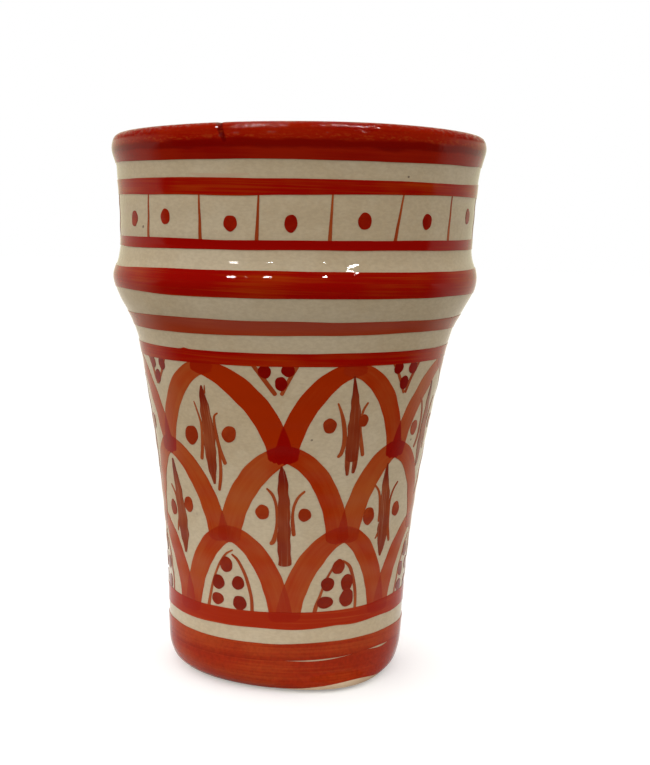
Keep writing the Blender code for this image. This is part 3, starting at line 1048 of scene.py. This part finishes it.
def brushed_colour(shade, place, thin, full, deep, tracks, round_pot=False, lap=1.0, streak=0.55, cover=0.0,
                   loading=0.3, patchy=1.0, ends=0.0, pool=0.0, grit=0.0, dry=0.0):
    """A colour laid on with the brush: thin where it was drawn out, deep where strokes lie over each other.

    streak, patchy, loading and cover are the shares of the bristles, of the wash, of the stroke's own tone
    and of a load that is the same all over, and lap is that of the deep colour where strokes overlap. ends
    darkens the head and the tail of a stroke, the lower-edge share paints shade along the lower edge of a
    band, grit speckles the colour and dry lets the glaze show between the bristles.
    """
    fineness, length = tracks
    if round_pot:
        wide = shade.stretched(place, (METRE / length, METRE / length, METRE * fineness))
        lines = shade.noise(wide, 1.0, 4.0, 0.6)
        wash = shade.noise(shade.stretched(place, BAND_WASH), 1.0, 2.0, 0.5)
    else:
        chart = shade.add("UVMap", uv_map="stroke").outputs[0]
        values = {"Vector": chart, "Fineness": fineness, "Length": length}
        lines, wash = shade.add("Group", values, node_tree=bristles).outputs
    along, _, tone = shade.noted("brush")
    second, third, shown = shade.noted("coats")
    load = shade.scaled(tone, loading, shade.scaled(wash, patchy, 0.5 - 0.5 * patchy + cover))
    load = shade.scaled(shade.math("SUBTRACT", lines, 0.5), streak, load)
    colour = shade.blend(shade.span(load, 0.35, 0.83), thin, full)
    for depth, share, darker in ((second, 0.97 * lap, deep), (third, 0.4 * lap, [0.9 * c for c in deep])):
        colour = shade.blend(shade.times(shade.span(depth, *LAP_EDGE, 0.0, share), shown), colour, darker)
    if ends:
        head = shade.span(along, 0.30, 0.10, 0.0, ends)
        tail = shade.span(along, 0.45, 0.75, 0.0, 0.4 * ends)
        colour = shade.blend(shade.most(head, tail), colour, deep)
    # Painted shade: the band darkens towards its lower edge, standing in for the shade where the foot meets
    # the floor
    if pool:
        colour = shade.blend(shade.span(along, LOWER_EDGE_SHADE_HEIGHT, 0.0, 0.0, pool), colour, deep)
    if grit:
        colour = shade.speckled(colour, place, GRIT, 1 - grit, 1 + grit)
    if dry:
        colour = shade.blend(shade.span(lines, 0.45, 0.30, 0.0, dry), colour, CREAM_WARM)
    return colour


def brushed(name, thin, full, deep, tracks, shine=GLAZE_SHINE, **finish):
    """A material of such a colour under the glaze's own skin."""
    material, shade, shader = new_material(name)
    place = shade.place()
    colour = brushed_colour(shade, place, thin, full, deep, tracks, **finish)
    finish_glossy(shade, shader, colour, place, shine)
    return material


def banded(name, thin, full, deep, **finish):
    """The same for a band that was laid on while the pot turned."""
    return brushed(name, thin, full, deep, BAND_TRACKS, round_pot=True, **finish)


def lip_red(name, shine):
    """The lip's red: rubbed along its edge, with painted shade in a stripe below that, a crest lighter in
    grains that is partly worn and partly painted light, and shiny in grains on its crest.
    """
    material, shade, shader = new_material(name)
    place = shade.place()
    colour = brushed_colour(shade, place, LIP_THIN, LIP_FULL, LIP_NICK_SHADE, BAND_TRACKS, round_pot=True)
    run = shade.noted("brush")[0]
    grit = shade.noise(shade.stretched(place, LIP_GRIT), 1.0, 3.0, 0.7)
    patch = shade.noise(shade.stretched(place, LIP_PATCHES), 1.0, 2.0)
    level = shade.scaled(patch, 1.6, shade.math("SUBTRACT", run, 0.8))
    # Painted shade: a darker stripe below the rubbed edge, where the lip's outer face turns away from the
    # light
    colour = shade.blend(shade.times(shade.between(level, 1.9, 2.7, 3.5, 4.3), 0.75), colour, LIP_PAINTED_SHADE)
    worn = shade.times(shade.between(level, 3.7, 4.3, 4.5, 5.1), shade.span(grit, 0.48, 0.66))
    colour = shade.blend(shade.times(worn, 0.32), colour, LIP_RUBBED)
    # Partly wear and partly painted light: the crest, which faces up to the light, is lighter in grains
    crest = shade.times(shade.span(level, 4.6, 5.6), shade.span(grit, 0.45, 0.75, 0.0, 0.4))
    colour = shade.blend(crest, colour, LIP_CREST_WEAR_AND_LIGHT)
    grains = shade.span(shade.noise(place, LIP_GRAINS, 2.0), 0.62, 0.52)
    dull = shade.times(shade.span(run, 5.0, 5.6), grains)
    pits = shade.times(grit, shade.span(run, 5.2, 6.0))
    finish_glossy(shade, shader, colour, place, shine, LIP_SKIN_STRENGTH, pits)
    shade.wire(shader, {"Specular IOR Level": shade.scaled(dull, -0.95 * shine, shine)})
    return material


def bare_clay():
    material, shade, shader = new_material("buff_clay")
    place = shade.place()
    grain = shade.noise(place, CLAY_GRAIN, 4.0, 0.7)
    cloud = shade.noise(place, CLAY_CLOUDS)
    colour = shade.blend(shade.span(cloud, 0.3, 0.7), CLAY_PALE, CLAY_DARK)
    colour = shade.blend(shade.span(grain, 0.55, 0.75, 0.0, 0.5), colour, CLAY_DARK)
    relief = shade.add("Bump", {"Height": grain, "Strength": 0.5, "Distance": CLAY_SKIN_DEPTH})
    shade.wire(shader, {"Base Color": colour, "Roughness": shade.span(grain, 0.3, 0.7, 0.75, 0.95),
                        "Normal": relief.outputs[0]})
    return material


cream = cream_glaze()
clay = bare_clay()
band_red = banded("band_red", (0.305, 0.026, 0.001), (0.258, 0.0015, 0.0002), (0.205, 0.001, 0.0002),
                  lap=0.35, streak=1.0, cover=0.17)
base_red = banded("base_red", (0.34, 0.043, 0.0080), (0.28, 0.016, 0.0022), (0.24, 0.006, 0.001),
                  shine=THIN_SHINE, lap=0.6, streak=1.2)
# The foot's red carries painted shade along the lower edge of each of its bands
foot_red = banded("foot_red", (0.300, 0.038, 0.0072), (0.25, 0.016, 0.003), (0.19, 0.006, 0.001),
                  shine=THIN_SHINE, lap=0.6, streak=1.0, pool=0.6, grit=0.10)
shoulder_red = banded("shoulder_red", (0.31, 0.047, 0.011), (0.265, 0.028, 0.007), (0.2, 0.01, 0.004),
                      streak=0.8)
scale_red = brushed("scale_red", (0.325, 0.068, 0.0145), (0.29, 0.018, 0.0004), (0.225, 0.001, 0.0003),
                    (1.6, 16.0), streak=0.28, cover=-0.02, loading=0.42, patchy=0.5)
leaf_brown = brushed("leaf_brown", (0.27, 0.064, 0.021), (0.20, 0.027, 0.007), (0.14, 0.006, 0.002),
                     (3.2, 18.0), dry=0.3, ends=0.85)
line_brown = brushed("line_brown", (0.30, 0.062, 0.016), (0.24, 0.033, 0.007), (0.2, 0.02, 0.004), (2.5, 8.0))
dot_red = brushed("dot_red", (0.30, 0.040, 0.008), (0.225, 0.020, 0.0035), (0.17, 0.008, 0.002), DOT_TRACKS)
seed_red = brushed("seed_red", (0.215, 0.017, 0.0032), (0.16, 0.008, 0.0015), (0.12, 0.004, 0.001),
                   DOT_TRACKS)
gap_red = brushed("gap_red", (0.205, 0.003, 0.0006), (0.16, 0.001, 0.0003), (0.12, 0.0005, 0.0002),
                  DOT_TRACKS)
frieze_red = brushed("frieze_red", (0.27, 0.012, 0.0015), (0.20, 0.003, 0.0005), (0.16, 0.002, 0.0004),
                     DOT_TRACKS)
faint_wash = brushed("faint_wash", (0.44, 0.34, 0.23), (0.42, 0.30, 0.20), (0.4, 0.28, 0.18), (1.6, 12.0))
lip_colour = lip_red("lip_red", GLAZE_SHINE)
worn_lip = lip_red("worn_lip_red", WORN_SHINE)
speck_brown = brushed("speck_brown", (0.16, 0.11, 0.07), SPECK_BROWN, SPECK_BROWN, (1.0, 2.0))


# The pot: clay, and the two coats of glaze

clay_line = section("clay_body")
clay_line = np.vstack([[(0, clay_line[0, 1])], clay_line, [(0, clay_line[-1, 1])]])
floor_line = straight(np.array([inside_line[-1], (0, inside_line[-1, 1])]), FLAT_STEP)[1:]
hidden_floor = straight(np.array([(0, inside_hidden[0, 1]), inside_hidden[0]]), HIDDEN_STEP)[:-1]
outer_loop = np.vstack([outside_line, eased(outside_hidden, HIDDEN_STEP)])
inner_loop = np.vstack([hidden_floor, eased(inside_hidden, HIDDEN_STEP), inside_line, floor_line])
for name, loop, material, slot, node in (
    ("clay_pot", straight(clay_line, FLAT_STEP), clay, "buff_clay", "clay_body"),
    ("outer_glaze_coat", outer_loop, cream, "cream_glaze", "outer_glaze"),
    ("inner_glaze_coat", inner_loop, cream, "cream_glaze", "inner_glaze"),
):
    settle(spun(name, loop), material, slot, [node], POT_NICK_WIDTH)


# The scales

strokes_of = {name: scale_strokes(row) for name, row in ROWS.items()}
all_scales = sum(strokes_of.values(), [])
for row_name, row in ROWS.items():
    parts = []
    for k, stroke in enumerate(strokes_of[row_name]):
        others = [other for other in all_scales if other is not stroke]
        lift = SCALE_TOP + COAT_STEP * (row["coat"] + k % 2)
        parts.append(stroke.laid("scale", strip_unit, lift, stroke.tone, others, SCALE_RAGGED, row["laps"]))
    settle(joined(f"{row_name}_row_of_scales", parts), scale_red, "brick_red")


# Leaves, seeds, what is in the gaps over the scales, and the dotted frieze

painting = {
    "leaves": leaf_brown, "leaf_side_strokes": line_brown, "leaf_dots": dot_red, "seed_arches": line_brown,
    "seed_dots": seed_red, "gap_lines": line_brown, "gap_dots": gap_red, "frieze_lines": line_brown,
    "frieze_dots": frieze_red,
}
made = {name: [] for name in painting}
tops_of = {name: round_the_wall(row["tops"], SCALES_IN_ROW) for name, row in ROWS.items()}
for row_name in ("top", "middle"):
    motifs = [leaf for leaf in LEAVES if leaf["row"] == row_name]
    for motif, turn, climb in on_round(motifs, "top", tops_of[row_name], MOTIF_SPREAD):
        leaf = Stroke(moved(motif["leaf"], turn, climb), LEAF_CAP)
        made["leaves"].append(leaf.laid("leaf", strip_unit, LEAF_TOP, fresh_tone(), ragged=LEAF_RAGGED))
        made["leaves"] += pulled(motif.get("feet", ()), turn, climb, BLUNT_CAP, LEAF_FOOT_TOP)
        made["leaf_side_strokes"] += pulled(motif["hairs"], turn, climb)
        made["leaf_dots"] += dabbed(motif["dots"], turn, climb)
for motif, turn, climb in on_round(SEEDS, "top", tops_of["bottom"], MOTIF_SPREAD):
    made["seed_arches"] += pulled(motif["arch"], turn, climb)
    made["seed_dots"] += dabbed(motif["dots"], turn, climb)
for motif, turn, _ in on_round(GAPS, "joint", round_the_wall(TOP_ROW["joints"], SCALES_IN_ROW), GAP_SPREAD):
    made["gap_lines"] += pulled(motif["lines"], turn, 0, BLUNT_CAP)
    made["gap_dots"] += dabbed(motif["dots"], turn, 0)

heads = round_the_wall([line[0] for line in FRIEZE_LINES], FRIEZE_PANELS)
for k, head in enumerate(heads):
    foot = FRIEZE_LINES[k][1] if k < len(FRIEZE_LINES) else head + rng.uniform(*FRIEZE_LINE_SLANT)
    middle = ((head + foot) / 2, (FRIEZE_HEAD + FRIEZE_FOOT) / 2)
    places = ((head, FRIEZE_HEAD), middle, (foot, FRIEZE_FOOT))
    line = [(*place, width) for place, width in zip(places, FRIEZE_LINE_WIDTHS)]
    made["frieze_lines"] += pulled([line], 0, 0, BLUNT_CAP)
spots = list(FRIEZE_DOTS)
for left, right in zip(heads[len(spots):], heads[len(spots) + 1:] + [heads[0] + 360]):
    angle = (left + right) / 2 + rng.uniform(-MOTIF_SPREAD, MOTIF_SPREAD)
    spots.append((angle, FRIEZE_DOT_HEIGHT + rng.uniform(-FRIEZE_DOT_CLIMB, FRIEZE_DOT_CLIMB)))
for angle, height in spots:
    wide, tall = (side * rng.uniform(*FRIEZE_DOT_SPREAD) for side in FRIEZE_DOT_SIZE)
    slant = rng.uniform(-FRIEZE_DOT_TURN, FRIEZE_DOT_TURN)
    made["frieze_dots"] += dabbed([(angle, height, wide, tall, slant)], 0, 0)

for name, material in painting.items():
    settle(joined(name, made[name]), material, "brick_red")
smear = Stroke(SMEAR, HAIR_CAP).laid("smear_under_lip", strip_unit, SMEAR_TOP, fresh_tone())
settle(smear, faint_wash, "cream_glaze")
specks = [dab("speck", angle, height, size, size * SPECK_FLATNESS, SPECK_TURN, fresh_tone(), LINE_TOP)
          for angle, height, size in SPECKS]
settle(joined("glaze_specks", specks), speck_brown, "cream_glaze")


# The bands of colour that run right round

LIP_POINTS = 60
FOOT_LAP_SEEDS = (77, 78)
FOOT_LAP_SHAKES = (0.12, 0.25)


def band_runs(node):
    """Where a band's lower and upper edge lie along the wall."""
    low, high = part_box(node)
    return float(run_at(low.z / MM)), float(run_at(high.z / MM))


def under_scales(angle, run):
    """How deep under the scales places are."""
    return np.max([stroke.depth_of(angle, height_at(run)) for stroke in all_scales], axis=0)


def under_foot_turn(angle, run):
    """Where the upper turn of the foot lies on the lower one, and a lap of its own above that."""
    edge, middle = (wander(angle, seed, size) for seed, size in zip(FOOT_LAP_SEEDS, FOOT_LAP_SHAKES))
    overlap = foot_split + swelled(angle, EDGE_SWELLS["lower_foot_band"][1]) + edge - run
    lap = FOOT_LAP_WIDTH - np.abs(run - foot_split - FOOT_LAP_RISE - middle)
    return np.maximum(overlap, lap - swelled(angle, [FOOT_LAP_FADE]))


def shade_in_nick(angle, run):
    """How far inside the painted shade of the lip's nick places are: above 0, the lip's deep colour stands in
    for the shade in the dent.
    """
    low, high = (np.array((math.radians(a) * nick_radius, run_at(z))) for a, z in (NICK_LOW, NICK_HIGH))
    place = np.stack([np.radians(angle) * nick_radius, run], -1)
    share = np.clip((place - low) @ (high - low) / ((high - low) @ (high - low)), 0, 1)
    away = np.linalg.norm(place - low - share[:, None] * (high - low), axis=1)
    return NICK_SHADE[0] + NICK_SHADE[1] * share - away


foot_split = band_runs("lower_foot_band")[1]
nick_radius = float(radius_at(NICK_LOW[1]))
for node, material, top, shakes, under in (
    ("upper_frieze_ring", band_red, RING_TOP, (0.10, 0.10), None),
    ("lower_frieze_ring", band_red, RING_TOP, (0.10, 0.10), None),
    ("collar_band", band_red, RING_TOP, (0.12, 0.12), None),
    ("shoulder_ring", shoulder_red, RING_TOP, (0.12, 0.12), None),
    ("field_top_ring", band_red, RING_TOP, (0.08, 0.10), under_scales),
    ("field_base_ring", base_red, RING_TOP, (0.14, 0.12), under_scales),
    ("lower_foot_band", foot_red, LOWER_FOOT_TOP, (0.12, 0.05), None),
    ("upper_foot_band", foot_red, RING_TOP, (0.05, 0.14), under_foot_turn),
):
    band = ring(node + "_colour", *band_runs(node), top, fresh_tone(), shakes, EDGE_SWELLS[node], under)
    settle(band, material, "brick_red", [node])
toe = Stroke(BARE_TOE, BLUNT_CAP).laid("bare_toe", strip_unit, TOE_TOP, fresh_tone())
settle(toe, clay, "buff_clay")

# The lip's band ends inside, at the innermost point of its own outline
lip_section = section("lip_band")
inner_edge = lip_section[np.argmin(lip_section[:, 0]), 1]
inner_point = len(outside_line) + int(np.argmin(np.abs(inside_line[:LIP_POINTS, 1] - inner_edge)))
lip_runs = (band_runs("lip_band")[0], float(wall_run[inner_point]))
# The lip's deep colour is laid in the nick as painted shade
band = ring("lip_band_colour", *lip_runs, RING_TOP, fresh_tone(), (0.10, 0.3), EDGE_SWELLS["lip_band"],
            shade_in_nick, lip_unit, NICK_STRETCH)
settle(band, lip_colour, "brick_red", ["lip_band"])
band.data.materials.append(worn_lip)
runs = np.array([place.vector[0] for place in band.data.attributes["brush"].data])
for face in band.data.polygons:
    worn = LIP_WEAR[0] < runs[list(face.vertices)].mean() < LIP_WEAR[1]
    turn = math.degrees(math.atan2(face.center.x, -face.center.y))
    face.material_index = int(worn and abs(turn) < LIP_WEAR_REACH)
for unit in (strip_unit, hair_unit, dab_unit, ring_unit, lip_unit):
    bpy.data.objects.remove(unit)


# The floor, the light and the camera: lengths in metres, ways into the room as parts of a unit vector

FLOOR_RADIUS = 2.5
FLOOR_SIDES = 96
FLOOR_NEAR = (0.80, 0.80, 0.78)
FLOOR_FAR = (0.09, 0.077, 0.046)
FLOOR_ROUGHNESS = 0.9
FLOOR_GLOW = (0.24, 0.96)
FLOOR_BEHIND = (-0.03, 0.1)
SHEET_EDGE = (0.066, 0.133)
FLOOR_SHEEN = (0.85, 0.78, 0.66)
WHITE = (1, 1, 1)
ROOM_SIDE = 1.28
ROOM_BRIGHT = 2.15
ROOM_TOP = 0.37
ROOM_LEFT = 0.24
ROOM_FLANK = 0.18
ROOM_LOW_FRONT = 0.30
WALL_HEIGHTS = (0.05, 0.5)
TOP_HEIGHTS = (0.59, 0.89)
FRONT_DEPTHS = (-0.2, -0.9)
FRONT_HEIGHTS = (0.45, 0.0)
SHEEN_FRONT = 0.12
SHEEN_SIDE = 0.90
SHEEN_TINT = (1.0, 0.95, 0.70)
SHEEN_FROM = (0.05, -1, 0.30)
SHEEN_TURN = (-0.4, 0.15)
LAMP_TARGET = (0, 0, 0.09)
LAMP_DISTANCE = 0.75
LAMP_GLARE = 190.0

# The small lamps: angle and height in degrees, width, height and slant
LAMPS = [(-40.2, 20.1, 0.066, 0.022, 0), (-30.5, 21.1, 0.013, 0.013, 0), (-17.6, 21.3, 0.050, 0.019, 0),
         (17.5, 21.4, 0.024, 0.020, 0), (36.0, 27.0, 0.110, 0.036, -40), (-68.0, 73.0, 0.09, 0.26, 0),
         (72.0, 73.0, 0.09, 0.26, 0)]


def pale_floor():
    """A pale sheet under the pot, on a dark floor that shows as white."""
    floor = started("floor", bpy.ops.mesh.primitive_circle_add, vertices=FLOOR_SIDES, radius=FLOOR_RADIUS,
                    fill_type="NGON")
    material, shade, shader = new_material("pale_floor")
    place = shade.place()
    away = shade.add("VectorMath", {0: place}, operation="LENGTH").outputs["Value"]
    path = shade.add("LightPath").outputs
    behind = shade.times(path["Is Glossy Ray"], shade.span(shade.parts(place)[1], *FLOOR_BEHIND))
    seen = shade.most(shade.most(path["Is Camera Ray"], path["Is Transmission Ray"]), behind)
    shade.wire(shader, {
        "Base Color": shade.blend(shade.span(away, *SHEET_EDGE), FLOOR_NEAR, FLOOR_FAR),
        "Roughness": FLOOR_ROUGHNESS,
        "Specular IOR Level": 0.0,
        "Emission Color": shade.blend(path["Is Glossy Ray"], WHITE, FLOOR_SHEEN),
        "Emission Strength": shade.times(seen, shade.span(away, *SHEET_EDGE, *FLOOR_GLOW)),
    })
    floor.data.materials.append(material)


def white_room():
    """A white room, brightest half way up its walls. In the shine of the glaze its front is dim."""
    world = bpy.data.worlds.new("white_room")
    bpy.context.scene.world = world
    world.use_nodes = True
    shade = Shade(world.node_tree)
    way = shade.add("TexCoord").outputs["Generated"]
    side, depth, height = shade.parts(way)
    low_front = shade.times(shade.span(depth, *FRONT_DEPTHS), shade.span(height, *FRONT_HEIGHTS))
    light = shade.span(height, *WALL_HEIGHTS, ROOM_SIDE, ROOM_BRIGHT)
    light = shade.times(light, shade.span(height, *TOP_HEIGHTS, 1.0, ROOM_TOP))
    flank = shade.times(side, side)
    for where, less in ((side, ROOM_LEFT), (flank, ROOM_FLANK), (low_front, ROOM_LOW_FRONT)):
        light = shade.times(light, shade.scaled(where, -less, 1.0))
    front = tuple(Vector(SHEEN_FROM).normalized())
    facing = shade.add("VectorMath", {0: way, 1: front}, operation="DOT_PRODUCT").outputs["Value"]
    sheen = shade.span(facing, *SHEEN_TURN, SHEEN_SIDE, SHEEN_FRONT)
    path = shade.add("LightPath").outputs
    looked_at = shade.most(path["Is Camera Ray"], path["Is Transmission Ray"])
    strength = shade.mixed(looked_at, shade.mixed(path["Is Glossy Ray"], light, sheen), 1.0)
    colour = shade.blend(path["Is Glossy Ray"], WHITE, SHEEN_TINT)
    shade.wire(world.node_tree.nodes["Background"].inputs, {"Strength": strength, "Color": colour})


def small_lamps():
    """Small lamps high in the room, for the sparks on the lip and the collar."""
    for k, (angle, height, wide, tall, slant) in enumerate(LAMPS):
        a, e = math.radians(angle), math.radians(height)
        way = Vector((math.sin(a) * math.cos(e), -math.cos(a) * math.cos(e), math.sin(e)))
        lamp = bpy.data.lights.new(f"small_lamp_{k}", "AREA")
        lamp.shape = "RECTANGLE"
        lamp.size = wide
        lamp.size_y = tall
        lamp.energy = LAMP_GLARE * math.pi * wide * tall
        obj = bpy.data.objects.new(lamp.name, lamp)
        obj.visible_diffuse = False
        bpy.context.scene.collection.objects.link(obj)
        obj.location = Vector(LAMP_TARGET) + way * LAMP_DISTANCE
        turn = way.to_track_quat("Z", "Y") @ Quaternion((0, 0, 1), math.radians(slant))
        obj.rotation_euler = turn.to_euler()


def photo_camera():
    """The camera where the picture was taken from."""
    pitch, yaw, roll = (math.radians(a) for a in (CAMERA_PITCH, CAMERA_YAW, CAMERA_ROLL))
    ahead = Vector((math.sin(yaw) * math.cos(pitch), math.cos(yaw) * math.cos(pitch), -math.sin(pitch)))
    level = Vector((math.cos(yaw), -math.sin(yaw), 0))
    upright = level.cross(ahead)
    right = math.cos(roll) * level + math.sin(roll) * upright
    up = math.cos(roll) * upright - math.sin(roll) * level
    camera = bpy.data.cameras.new("photo_camera")
    camera.lens = CAMERA_LENS
    camera.sensor_width = SENSOR_WIDTH
    camera.clip_start = CLIP_START * MM
    obj = bpy.data.objects.new("photo_camera", camera)
    bpy.context.scene.collection.objects.link(obj)
    turn = Matrix((right, up, -ahead)).transposed().to_4x4()
    obj.matrix_world = Matrix.Translation((0, -CAMERA_DISTANCE * MM, CAMERA_HEIGHT * MM)) @ turn
    bpy.context.scene.camera = obj


pale_floor()
white_room()
small_lamps()
photo_camera()
bpy.context.scene.view_settings.view_transform = "Standard"
